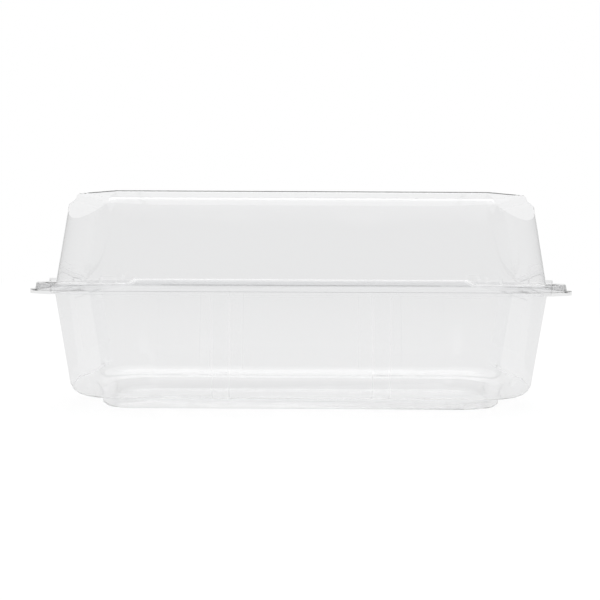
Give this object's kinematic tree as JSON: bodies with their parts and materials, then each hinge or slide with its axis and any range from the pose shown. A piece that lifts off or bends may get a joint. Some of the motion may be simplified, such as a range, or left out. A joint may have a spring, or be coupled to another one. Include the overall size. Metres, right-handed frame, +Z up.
{
  "type": "plastic clamshell pack",
  "caption": "Clear thermoformed food pack: a deep tray with a stepped foot and a tall domed lid on a living hinge.",
  "frame": {"origin": "middle of the flat underside of the foot, which the pack stands on", "axes": "+Z up, +X along the length, -Y towards the opening edge, hinge at +Y"},
  "size_m": [0.2286, 0.1353, 0.0911],
  "materials": {
    "clear_sheet": "clear gloss"
  },
  "bodies": {
    "tray": {"base_tray": "clear_sheet", "living_hinge": "clear_sheet"},
    "lid": {"lid": "clear_sheet"}
  },
  "joints": [
    {"name": "lid_hinge", "type": "hinge", "parent": "tray", "child": "lid", "pos_m": [0, 0.0675, 0.0504], "axis": [-1, 0, 0], "range_deg": [0, 180], "deforming": ["living_hinge"]}
  ]
}
